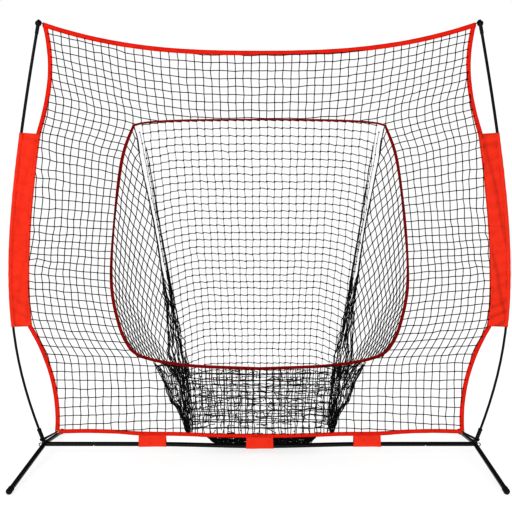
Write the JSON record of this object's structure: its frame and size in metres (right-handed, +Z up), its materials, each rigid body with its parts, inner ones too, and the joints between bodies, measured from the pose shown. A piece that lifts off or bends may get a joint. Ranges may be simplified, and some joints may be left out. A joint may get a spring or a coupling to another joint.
{
  "type": "pitching target net",
  "caption": "Square practice net with a strike-zone pocket, stretched by two bow poles on a tube base with folding legs.",
  "frame": {"origin": "on the floor at the middle of the footprint; the net's plane is at y = 0.0957", "axes": "+Z up, X across the width, -Y towards the pitcher; the pocket hangs towards +Y"},
  "size_m": [2.473, 0.9293, 2.1327],
  "materials": {
    "black_steel": "semi-gloss black powder coat",
    "bright_steel": "zinc plated",
    "fibreglass": "gloss black fibreglass",
    "rubber": "matte moulded rubber",
    "black_plastic": "satin moulded plastic",
    "red_cloth": "woven oxford cloth",
    "dark_ribbon": "woven binding tape",
    "elastic_cord": "braided sheath over elastic",
    "net_twine": "knotted twine"
  },
  "bodies": {
    "root": {"bottom_hem": "red_cloth", "corner_cord_left": "elastic_cord", "corner_cord_right": "elastic_cord", "corner_grommet_left": "bright_steel", "corner_grommet_right": "bright_steel", "corner_hub_left": "black_steel", "corner_hub_right": "black_steel", "front_leg_rivet_left": "black_steel", "front_leg_rivet_right": "black_steel", "front_net": "net_twine", "lower_side_hem_left": "red_cloth", "lower_side_hem_right": "red_cloth", "pocket_net": "net_twine", "pocket_ribbon": "dark_ribbon", "pole_ferrule_left": "bright_steel", "pole_ferrule_right": "bright_steel", "pole_lower_left": "fibreglass", "pole_lower_right": "fibreglass", "pole_middle_left": "fibreglass", "pole_middle_right": "fibreglass", "pole_sleeve_left": "red_cloth", "pole_sleeve_right": "red_cloth", "pole_upper_left": "fibreglass", "pole_upper_right": "fibreglass", "rail_coupler": "bright_steel", "rail_strap_centre": "red_cloth", "rail_strap_left": "red_cloth", "rail_strap_right": "red_cloth", "rail_tube_left": "black_steel", "rail_tube_right": "black_steel", "rear_leg_rivet_left": "black_steel", "rear_leg_rivet_right": "black_steel", "snap_spring_left": "bright_steel", "snap_spring_right": "bright_steel", "stake_eye_left": "bright_steel", "stake_eye_right": "bright_steel", "tip_cap_left": "black_plastic", "tip_cap_right": "black_plastic", "tip_cord_left": "elastic_cord", "tip_cord_right": "elastic_cord", "top_hem": "red_cloth", "upper_side_hem_left": "red_cloth", "upper_side_hem_right": "red_cloth"},
    "front_leg_left": {"front_foot_cap_left": "rubber", "front_leg_left": "black_steel"},
    "front_leg_right": {"front_foot_cap_right": "rubber", "front_leg_right": "black_steel"},
    "rear_leg_left": {"rear_foot_cap_left": "rubber", "rear_leg_left": "black_steel"},
    "rear_leg_right": {"rear_foot_cap_right": "rubber", "rear_leg_right": "black_steel"},
    "snap_button_left": {"snap_button_left": "bright_steel"},
    "snap_button_right": {"snap_button_right": "bright_steel"}
  },
  "joints": [
    {"name": "front_leg_fold_left", "type": "hinge", "parent": "root", "child": "front_leg_left", "pos_m": [-1.0755, 0.06575, 0.0525], "axis": [0, 0, 1], "range_deg": [0, 90]},
    {"name": "rear_leg_fold_left", "type": "hinge", "parent": "root", "child": "rear_leg_left", "pos_m": [-1.0755, 0.12575, 0.0525], "axis": [0, 0, -1], "range_deg": [0, 90]},
    {"name": "snap_button_press_left", "type": "slide", "parent": "root", "child": "snap_button_left", "axis": [0, 0.8192, 0.5736], "range_m": [0, 0.0032], "stiffness_N_per_m": 1200, "springref_m": -0.002},
    {"name": "front_leg_fold_right", "type": "hinge", "parent": "root", "child": "front_leg_right", "pos_m": [1.0755, 0.06575, 0.0525], "axis": [0, 0, -1], "range_deg": [0, 90]},
    {"name": "rear_leg_fold_right", "type": "hinge", "parent": "root", "child": "rear_leg_right", "pos_m": [1.0755, 0.12575, 0.0525], "axis": [0, 0, 1], "range_deg": [0, 90]},
    {"name": "snap_button_press_right", "type": "slide", "parent": "root", "child": "snap_button_right", "axis": [0, 0.8192, 0.5736], "range_m": [0, 0.0032], "stiffness_N_per_m": 1200, "springref_m": -0.002}
  ]
}
